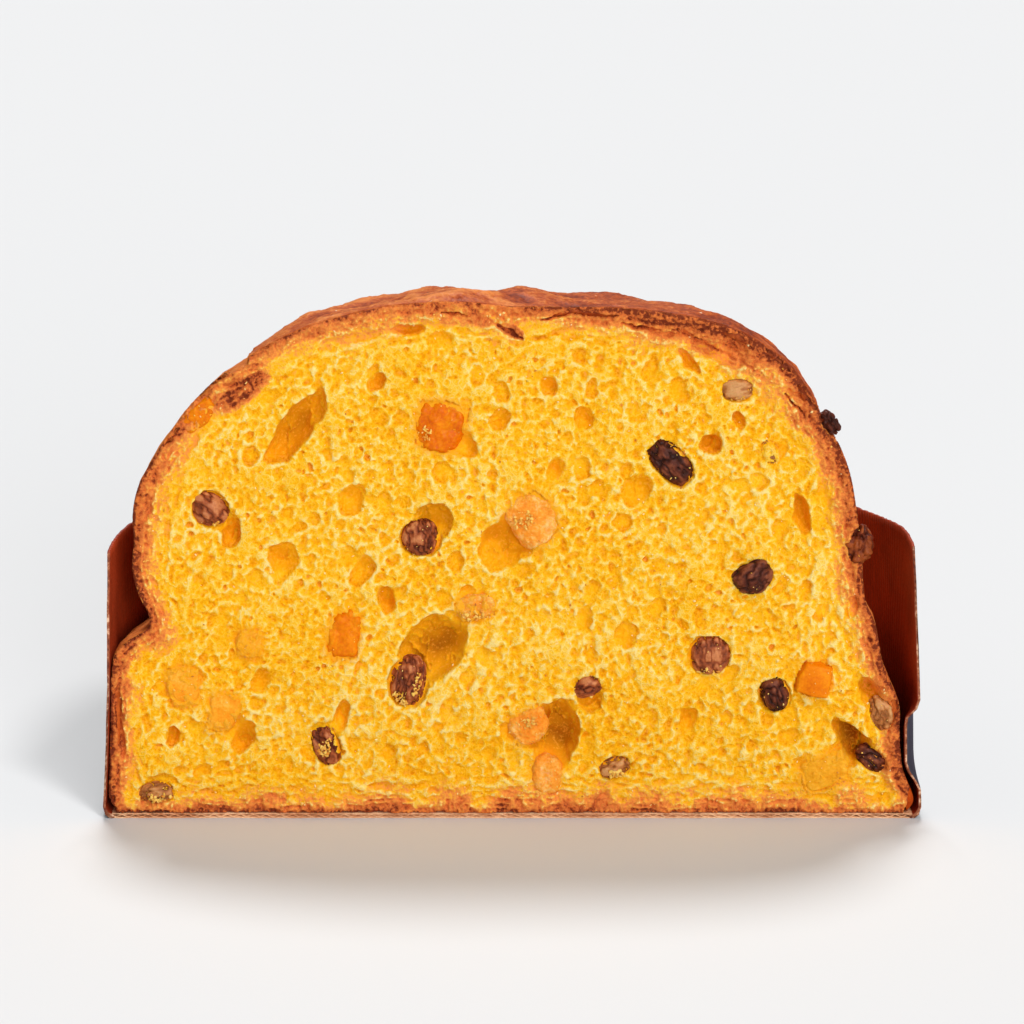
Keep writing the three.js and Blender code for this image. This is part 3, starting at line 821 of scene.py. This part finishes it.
def make_raisin(node, seed):
    """A raisin: its solid, made round, then wrinkled with ridges that run along it."""
    piece = node_copy(node, node + "_fruit")
    rounded(piece, 4)
    places = points_of(piece)
    axes = np.linalg.eigh(np.cov((places - places.mean(0)).T))[1]
    a, b, c = ((places - places.mean(0)) @ axes).T
    ridges = np.abs(layered(a, b, c * 0.5, 1.9, seed, 3))
    folds = noise(a, b, c * 0.6, 4.2, seed + 7)
    fine = noise(a, b, c * 0.6, 0.7, seed + 9)
    crusted = node in ("raisin_on_crust", "raisin_burnt")
    lumps = 1.1 * folds + 0.6 * fine if crusted else 0.6 * folds
    swell(piece, 0.2 + lumps + 0.26 * ridges - 0.42 * np.exp(-(ridges / 0.11) ** 2) + 0.1 * fine)
    if sliced(node):
        x, y, z = points_of(piece).T
        set_points(piece, np.stack([x, CUT + levelled(y - CUT), z], 1))
    # How far each point stands on a ridge. The raisin's material uses it to paint shade into the folds and a
    # highlight onto the ridges.
    note(piece, "ridge", np.clip(1.3 * ridges + 0.3 * folds + 0.2 * fine, 0, 1))
    return piece


PEEL_LOOKS = {
    "peel_amber": "amber", "peel_cube": "orange", "peel_crescent": "orange", "peel_in_crust": "orange",
    "peel_peach": "peach", "peel_rough": "peach", "peel_pale": "peach", "peel_tan": "peach",
    "peel_buried": "faint", "peel_faint": "faint", "peel_lemon": "faint", "citron_corner": "citron",
}


def make_peel(node, seed, crisp):
    """A piece of candied peel: a diced block, its edges rounded and its faces a little sunken and sticky."""
    piece = node_copy(node, node + "_fruit")
    if crisp:
        apply_modifier(piece, "BEVEL", width=0.5 * MM, segments=3, limit_method="ANGLE", angle_limit=0.66)
        rounded(piece, 3, "SIMPLE")
    else:
        rounded(piece, 4)
    x, y, z = points_of(piece).T
    coarse, fine = layered(x, y, z, 3.4, seed), noise(x, y, z, 0.8, seed + 5)
    swell(piece, 0.1 * coarse + 0.03 * fine if crisp else 0.45 + 0.5 * coarse + 0.12 * fine)
    if sliced(node):
        x, y, z = points_of(piece).T
        rough = 0.4 * layered(x, 0, z, 2.2, seed) + 0.16 * noise(x, 0, z, 0.8, seed + 3)
        calm = 0.35 if PEEL_LOOKS[node] in ("faint", "citron") else 1
        set_points(piece, np.stack([x, CUT + levelled(y - CUT) + calm * rough, z], 1))
    return piece


# Loose crumbs

# Where they cling to the fruit, in the same form as the spots.
CRUMBED = [
    (-21.6, 102.6, 1.7, 2.6, -20, 1.0), (-29.6, 31, 3, 3.4, 0, 1.0), (-24.4, 36, 1.5, 4, 10, 1.0),
    (-48.2, 19.4, 2.2, 3.4, 20, 1.0), (50, 38.6, 4.6, 2, 0, 1.0), (21.4, 32, 1.5, 1.2, 0, 1.0),
    (-74.6, 77.6, 2.4, 2.4, 0, 1.0), (89.6, 18, 1.8, 1.6, 0, 1.0), (-91, 5.4, 4, 2, 0, 1.0),
    (27, 12.4, 2.4, 1.6, 0, 1.0), (-9.5, 54, 4, 2.6, 0, 1.0), (4, 26, 3.6, 2, 0, 1.0), (3, 80, 4, 3, 0, 1.0),
    (58, 111, 3, 1.8, 0, 1.0),
]


def make_crumbs(fields, depth):
    """Loose crumbs that lie on the cut face and stick to the fruit, most of them pale and some brown."""
    bpy.ops.object.select_all(action="DESELECT")
    bpy.ops.mesh.primitive_ico_sphere_add(subdivisions=1, radius=1)
    piece = added("loose_crumbs")
    flake = np.array([v.co for v in piece.data.vertices])
    faces = np.array([p.vertices for p in piece.data.polygons])
    inside, front, edge = fields["inside"], fields["front"], fields["edge"]
    places, sizes, tones = [], [], []
    crumbed = spots(fields["x"], fields["z"], CRUMBED) * RNG.uniform(0.4, 1, front.shape)
    # Where, how many, the smallest and largest radius, and the brownest and palest tone.
    chances = (
        (inside & (edge > 1.5) & (front == NOWHERE), 620, 0.12, 0.34, 0, 1),
        (inside & (front < 6), 170, 0.08, 0.3, 0, 0.5),
        (inside & (front < 6) & (crumbed > 0.45), 330, 0.16, 0.6, 0.06, 0.34),
    )
    for chosen, count, smallest, largest, brown, pale in chances:
        found = np.argwhere(chosen)
        for j, i in found[RNG.integers(0, len(found), count)]:
            level = min(depth[j, i], front[j, i] - 0.4)
            if level < 3:
                places.append((FIELD_X[i], CUT + level - 0.1, FIELD_Z[j]))
                sizes.append(RNG.uniform(smallest, largest))
                tones.append(np.full(len(flake), RNG.uniform(brown, pale)))
    points = []
    for place, size in zip(places, sizes):
        turn = np.linalg.qr(RNG.normal(size=(3, 3)))[0]
        shape = flake * RNG.uniform(0.55, 1.25, (len(flake), 1)) * [1.5, 1, 0.6]
        points.append(np.array(place) + size * shape @ turn)
    rows = (faces[None] + len(flake) * np.arange(len(points))[:, None, None]).reshape(-1, 3)
    mesh = bpy.data.meshes.new("loose_crumbs")
    mesh.from_pydata((np.concatenate(points) * MM).tolist(), [], rows.tolist())
    piece.data = mesh
    choose_points(piece)
    leave_facing_out()
    note(piece, "tone", np.concatenate(tones))
    return piece


# Shaders

def srgb(red, green, blue):
    """A colour as a picture shows it, made the linear colour that a shader takes."""
    linear = [((c / 255 + 0.055) / 1.055) ** 2.4 if c > 10 else c / 255 / 12.92 for c in (red, green, blue)]
    return (*linear, 1)


def feed(tree, socket, value):
    """Links a socket to another one, or gives it a value."""
    if isinstance(value, bpy.types.NodeSocket):
        tree.links.new(value, socket)
    else:
        socket.default_value = value


def put(tree, kind, sockets=None, **settings):
    """Adds a shader node, with settings, and with socket values or links."""
    node = tree.nodes.new(kind)
    for name, value in settings.items():
        setattr(node, name, value)
    for socket, value in (sockets or {}).items():
        feed(tree, node.inputs[socket], value)
    return node


def ramp(tree, factor, *stops):
    """A colour ramp through (place, colour) stops, the colours as a picture shows them."""
    node = put(tree, "ShaderNodeValToRGB", {"Fac": factor})
    elements = node.color_ramp.elements
    while len(elements) < len(stops):
        elements.new(0.5)
    for element, (place, colour) in zip(elements, stops):
        element.position, element.color = place, srgb(*colour)
    return node.outputs["Color"]


def blend(tree, factor, first, second, kind="MIX"):
    sockets = {0: factor, 6: first, 7: second}
    return put(tree, "ShaderNodeMix", sockets, data_type="RGBA", blend_type=kind).outputs[2]


def between(tree, value, low, high, to_low=0.0, to_high=1.0):
    return put(tree, "ShaderNodeMapRange", {0: value, 1: low, 2: high, 3: to_low, 4: to_high}).outputs[0]


def maths(operation, tree, first, second):
    return put(tree, "ShaderNodeMath", {0: first, 1: second}, operation=operation).outputs[0]


plus, minus, times, larger = (partial(maths, kind) for kind in ("ADD", "SUBTRACT", "MULTIPLY", "MAXIMUM"))


def attribute(tree, name):
    return put(tree, "ShaderNodeAttribute", attribute_name=name).outputs["Fac"]


def mottle_group():
    """Two noises on the piece's own coordinates: mixed as a tone, and the fine one as a height."""
    group = bpy.data.node_groups.new("Mottle", "ShaderNodeTree")
    for name, value in (("Coarse Scale", 120.0), ("Fine Scale", 1200.0), ("Fine Share", 0.35)):
        group.interface.new_socket(name, in_out="INPUT", socket_type="NodeSocketFloat").default_value = value
    for name in ("Tone", "Height"):
        group.interface.new_socket(name, in_out="OUTPUT", socket_type="NodeSocketFloat")
    start, end = group.nodes.new("NodeGroupInput"), group.nodes.new("NodeGroupOutput")
    place = put(group, "ShaderNodeTexCoord").outputs["Object"]
    coarse, fine = (
        put(group, "ShaderNodeTexNoise",
            {"Vector": place, "Scale": start.outputs[k], "Detail": detail, "Roughness": rough}).outputs[0]
        for k, detail, rough in ((0, 4.0, 0.6), (1, 3.0, 0.55))
    )
    mix = put(group, "ShaderNodeMix", {0: start.outputs[2], 2: coarse, 3: fine})
    group.links.new(mix.outputs[0], end.inputs[0])
    group.links.new(fine, end.inputs[1])
    return group


MOTTLE = mottle_group()


def mottle(tree, coarse, fine, share):
    node = put(tree, "ShaderNodeGroup", {0: coarse, 1: fine, 2: share}, node_tree=MOTTLE)
    return node.outputs["Tone"], node.outputs["Height"]


def new_material(name):
    material = bpy.data.materials.new(name)
    material.use_nodes = True
    tree = material.node_tree
    return material, tree, tree.nodes["Principled BSDF"]


def wire(tree, shader, **sockets):
    """Sets or links the surface shader's sockets, named with underscores for spaces."""
    for name, value in sockets.items():
        feed(tree, shader.inputs[name.replace("_", " ")], value)


def bump(tree, height, distance, strength=1.0):
    sockets = {"Height": height, "Distance": distance, "Strength": strength}
    return put(tree, "ShaderNodeBump", sockets).outputs["Normal"]


def crumb_material():
    """Egg-yellow crumb with painted highlights on its cell walls and painted shade in its hollows, browning
    into the crust.
    """
    material, tree, shader = new_material("Yellow crumb")
    hollow, depth, baked = (attribute(tree, name) for name in ("hollow", "depth", "baked"))
    tone, fine = mottle(tree, 60.0, 1300.0, 0.5)
    place = put(tree, "ShaderNodeTexCoord").outputs["Object"]
    stir = put(tree, "ShaderNodeTexNoise", {"Vector": place, "Scale": 420.0, "Detail": 2.0}).outputs["Color"]
    shift = put(tree, "ShaderNodeVectorMath", {0: stir, 3: 0.0016}, operation="SCALE").outputs[0]
    stirred = put(tree, "ShaderNodeVectorMath", {0: place, 1: shift}, operation="ADD").outputs[0]
    # Painted highlights: pale lines along the edges of fine cells, left out in holes and deep cells.
    walls = []
    for scale, width in ((620.0, 0.16), (1150.0, 0.2)):
        sockets = {"Vector": stirred, "Scale": scale}
        cells = put(tree, "ShaderNodeTexVoronoi", sockets, feature="DISTANCE_TO_EDGE")
        walls.append(between(tree, cells.outputs["Distance"], width, 0.0))
    wall = larger(tree, walls[0], times(tree, walls[1], 0.7))
    in_hole = between(tree, depth, 0.9, 2.4)
    in_cell = between(tree, hollow, -0.1, 0.7)
    wall = times(tree, wall, minus(tree, 1.0, larger(tree, in_hole, in_cell)))
    uneven = times(tree, minus(tree, tone, 0.5), 1.2)
    # Painted shade and highlight: the colour deepens in the hollows and pales on the ridges and on the
    # painted wall highlights; the mottle's tone is random.
    level = minus(tree, between(tree, hollow, -0.5, 0.42), uneven)
    level = minus(tree, level, times(tree, wall, 0.3))
    pale = times(tree, attribute(tree, "drawn"), between(tree, tone, 0.35, 0.65, 0.2, 0.0))
    level = minus(tree, level, pale)
    crumb = ramp(
        tree, level,
        (0.0, (255, 224, 140)), (0.2, (255, 208, 84)), (0.44, (254, 187, 20)),
        (0.68, (242, 162, 0)), (1.0, (216, 126, 0)),
    )
    # Painted shade in the holes: more orange from 1.4 mm deep and brown from 5.5 mm deep.
    crumb = blend(tree, between(tree, depth, 1.4, 5.5), crumb, srgb(230, 154, 8))
    crumb = blend(tree, between(tree, depth, 5.5, 9.5), crumb, srgb(166, 96, 8))
    syrup = times(tree, between(tree, attribute(tree, "syrup"), 0.1, 1.0), 0.8)
    crumb = blend(tree, syrup, crumb, srgb(250, 164, 24))
    # Painted shade and highlight in the baked rim too: darker in its hollows, lighter on its ridges.
    skin = plus(tree, plus(tree, baked, minus(tree, fine, 0.5)), times(tree, hollow, 0.28))
    crust = ramp(
        tree, skin,
        (0.0, (254, 190, 48)), (0.2, (250, 172, 62)), (0.4, (240, 148, 66)),
        (0.62, (226, 126, 58)), (0.84, (202, 102, 48)), (1.0, (128, 54, 28)),
    )
    colour = blend(tree, between(tree, skin, 0.02, 0.32), crumb, crust)
    relief = plus(tree, times(tree, wall, 0.8), fine)
    wire(
        tree, shader, Base_Color=colour, Roughness=0.85, Specular_IOR_Level=0.1, Subsurface_Weight=0.15,
        Subsurface_Radius=(1.0, 0.6, 0.2), Subsurface_Scale=0.001, Normal=bump(tree, relief, 0.00022, 0.8),
    )
    return material


def crust_material():
    """Baked skin: dark and a little glossy on the cap, lighter and dull on the sides, with pale flecks."""
    material, tree, shader = new_material("Baked crust")
    cap, relief, rise = (attribute(tree, name) for name in ("cap", "relief", "rise"))
    tone, fine = mottle(tree, 130.0, 1000.0, 0.42)
    # Random tone, plus painted highlight and shade from the relief: lighter where the crust stands out,
    # darker in its pits.
    uneven = plus(tree, tone, times(tree, relief, 0.25))
    place = put(tree, "ShaderNodeTexCoord").outputs["Object"]
    across = put(tree, "ShaderNodeSeparateXYZ", {"Vector": place}).outputs["X"]
    dark = ramp(
        tree, plus(tree, uneven, between(tree, across, 0.05, -0.03, -0.015, 0.085)),
        (0.3, (88, 30, 12)), (0.43, (140, 54, 20)), (0.56, (184, 84, 32)), (0.72, (222, 130, 62)),
    )
    side = ramp(
        tree, uneven,
        (0.2, (160, 74, 26)), (0.45, (204, 110, 46)), (0.68, (230, 144, 66)), (0.9, (242, 178, 98)),
    )
    side = blend(tree, between(tree, rise, 58.0, 10.0), side, srgb(226, 160, 84), "MULTIPLY")
    grains = put(tree, "ShaderNodeTexVoronoi", {"Vector": place, "Scale": 330.0}).outputs["Distance"]
    fleck = times(tree, between(tree, grains, 0.14, 0.08), between(tree, tone, 0.56, 0.6))
    colour = blend(tree, fleck, blend(tree, cap, side, dark), srgb(236, 204, 172))
    wire(
        tree, shader, Base_Color=colour, Roughness=between(tree, cap, 0.0, 1.0, 0.78, 0.5),
        Specular_IOR_Level=0.15, Subsurface_Weight=0.05, Subsurface_Radius=(1.0, 0.4, 0.15),
        Subsurface_Scale=0.001, Normal=bump(tree, plus(tree, fine, tone), 0.0003, 0.6),
    )
    return material


def paper_material(name, colour, darker, roughness, gloss=0.25):
    """Coloured baking paper with a faint fibre."""
    material, tree, shader = new_material(name)
    tone, fine = mottle(tree, 70.0, 1600.0, 0.4)
    wire(
        tree, shader, Base_Color=ramp(tree, tone, (0.35, darker), (0.62, colour)), Roughness=roughness,
        Specular_IOR_Level=gloss, Normal=bump(tree, fine, 0.00008, 0.5),
    )
    return material


def torn_edge_material():
    """The cut edge of the paper: brown, with pale fibres where it is torn."""
    material, tree, shader = new_material("Torn edge")
    tone, fine = mottle(tree, 160.0, 900.0, 0.5)
    colour = ramp(tree, tone, (0.4, (104, 42, 22)), (0.52, (168, 98, 62)), (0.62, (240, 196, 160)))
    wire(tree, shader, Base_Color=colour, Roughness=0.85, Normal=bump(tree, fine, 0.0002, 0.8))
    return material


def raisin_material(name, dark, mid, pale, through):
    """Wrinkled dried grape: painted shade darkens the folds and a painted highlight lightens the ridges."""
    material, tree, shader = new_material(name)
    ridge = attribute(tree, "ridge")
    tone, fine = mottle(tree, 300.0, 2200.0, 0.4)
    # Painted shade in the folds and painted highlight on the ridges, with random tone from the mottle.
    level = plus(tree, between(tree, ridge, 0.0, 1.0, 0.0, 0.4), times(tree, tone, 0.62))
    colour = ramp(tree, level, (0.28, dark), (0.55, mid), (0.85, pale))
    wire(
        tree, shader, Base_Color=colour, Roughness=0.45, Specular_IOR_Level=0.16, Subsurface_Weight=through,
        Subsurface_Radius=(1.0, 0.35, 0.15), Subsurface_Scale=0.0015, Normal=bump(tree, fine, 0.00015, 0.6),
    )
    return material


def peel_material(name, deep, mid, pale, moist, through):
    """Candied peel: moist and translucent where it is fresh, with paler crystals of sugar."""
    material, tree, shader = new_material(name)
    tone, fine = mottle(tree, 240.0, 1500.0, 0.4)
    wire(
        tree, shader, Base_Color=ramp(tree, tone, (0.34, deep), (0.52, mid), (0.72, pale)),
        Roughness=0.75 - 0.45 * moist, Specular_IOR_Level=0.1, Coat_Weight=0.05 * moist, Coat_Roughness=0.2,
        Subsurface_Weight=through, Subsurface_Radius=(1.0, 0.45, 0.12), Subsurface_Scale=0.0025,
        Normal=bump(tree, fine, 0.0002, 0.9 - 0.5 * moist),
    )
    return material


def flake_material():
    """Loose crumbs: mostly pale yellow, a few of them brown."""
    material, tree, shader = new_material("Loose crumbs")
    colour = ramp(
        tree, attribute(tree, "tone"),
        (0.0, (196, 112, 50)), (0.1, (236, 160, 60)), (0.25, (252, 204, 96)), (1.0, (255, 234, 176)),
    )
    _, fine = mottle(tree, 300.0, 2000.0, 0.5)
    wire(
        tree, shader, Base_Color=colour, Roughness=0.85, Specular_IOR_Level=0.2, Subsurface_Weight=0.15,
        Subsurface_Radius=(1.0, 0.6, 0.25), Subsurface_Scale=0.0008, Normal=bump(tree, fine, 0.0001, 0.5),
    )
    return material


# Making everything

crumb_look = crumb_material()
crust_look = crust_material()
paper_inside = paper_material("Brown paper", (172, 62, 28), (132, 44, 18), 0.5)
paper_outside = paper_material("Dark paper", (54, 47, 64), (38, 32, 46), 0.65, 0.1)
paper_edge = torn_edge_material()
kraft = paper_material("Kraft board", (252, 206, 160), (204, 130, 82), 0.85)
raisin_look = raisin_material("Raisin", (44, 16, 9), (90, 38, 22), (152, 84, 54), 0.05)
brown_look = raisin_material("Brown raisin", (86, 32, 14), (160, 80, 42), (222, 146, 92), 0.1)
crusted_look = raisin_material("Raisin baked in", (56, 14, 4), (104, 38, 12), (176, 88, 36), 0.05)
sultana_look = raisin_material("Sultana", (134, 74, 30), (184, 118, 62), (222, 170, 112), 0.35)
BROWN_RAISINS = (
    "raisin_far_left", "raisin_left", "raisin_hollow", "raisin_low_left", "raisin_small", "raisin_cut",
)
PEELS = {
    "amber": peel_material("Amber peel", (216, 92, 0), (232, 122, 0), (244, 152, 6), 0.8, 0.35),
    "orange": peel_material("Orange peel", (224, 108, 0), (238, 132, 0), (250, 162, 14), 0.5, 0.35),
    "peach": peel_material("Peach peel", (242, 132, 20), (252, 164, 56), (255, 214, 138), 0.3, 0.5),
    "faint": peel_material("Pale peel", (250, 142, 14), (254, 166, 36), (255, 200, 86), 0.3, 0.25),
    "citron": peel_material("Citron", (230, 148, 12), (246, 172, 34), (253, 200, 84), 0.5, 0.25),
}

crust = make_crust()
crumb, crumb_fields, crumb_depth = make_crumb(crust)
ready(crumb, crumb_look, "crumb", "loaf")
ready(crust, crust_look, "crumb", "loaf")
ready(make_crumbs(crumb_fields, crumb_depth), flake_material(), "crumb", "loaf")

wall = make_case_wall()
paint_wall(wall, (paper_inside, paper_outside, paper_edge))
ready(wall, paper_inside, "paper", "paper_case")
ready(make_case_board(), kraft, "paper", "paper_case")

for number, part in enumerate(frame["record"]["subparts"]):
    node, slot, seed = part["node"], part["material_slot"], 200 + 20 * number
    if slot in ("raisin", "sultana"):
        look = raisin_look if slot == "raisin" else sultana_look
        look = brown_look if node in BROWN_RAISINS else look
        look = crusted_look if node == "raisin_on_crust" else look
        ready(make_raisin(node, seed), look, slot, node)
    elif node in PEEL_LOOKS:
        ready(make_peel(node, seed, node == "peel_cube"), PEELS[PEEL_LOOKS[node]], slot, node)

# Floor, light and camera

bpy.ops.object.select_all(action="DESELECT")
bpy.ops.mesh.primitive_plane_add(size=40)
floor = added("floor")
floor_look, floor_tree, floor_shader = new_material("Plain floor")
wire(floor_tree, floor_shader, Base_Color=(0.708, 0.712, 0.718, 1), Roughness=1.0, Specular_IOR_Level=0.0)
floor.data.materials.append(floor_look)

world = bpy.data.worlds.new("Studio")
bpy.context.scene.world = world
world.use_nodes = True
sky = world.node_tree.nodes["Background"].inputs
sky["Color"].default_value, sky["Strength"].default_value = (1, 1, 1, 1), 0.2


def add_sun(name, elevation, azimuth, strength, spread):
    """A soft distant light. Azimuth 0 stands behind the camera, and it grows to the right."""
    bpy.ops.object.light_add(type="SUN")
    sun = bpy.context.active_object
    sun.name = name
    sun.data.energy, sun.data.angle = strength, math.radians(spread)
    up, side = math.radians(elevation), math.radians(azimuth)
    toward = Vector((math.cos(up) * math.sin(side), -math.cos(up) * math.cos(side), math.sin(up)))
    sun.rotation_euler = toward.to_track_quat("Z", "Y").to_euler()


add_sun("key_light", 50, 30, 1.15, 10)
add_sun("front_light", 16, 16, 1.35, 24)
add_sun("top_light", 62, 180, 2.3, 18)

CAMERA_ELEVATION = math.radians(14)
CAMERA_DISTANCE = 1300
CAMERA_LENS = 178.9
AIM_HEIGHT = 81.9
bpy.ops.object.camera_add()
camera = bpy.context.active_object
camera.data.lens = CAMERA_LENS
camera.data.clip_end = 50
away = Vector((0, -math.cos(CAMERA_ELEVATION), math.sin(CAMERA_ELEVATION)))
camera.location = (Vector((0, CUT, AIM_HEIGHT)) + away * CAMERA_DISTANCE) * MM
camera.rotation_euler = away.to_track_quat("Z", "Y").to_euler()
bpy.context.scene.camera = camera
bpy.context.scene.view_settings.view_transform = "Standard"
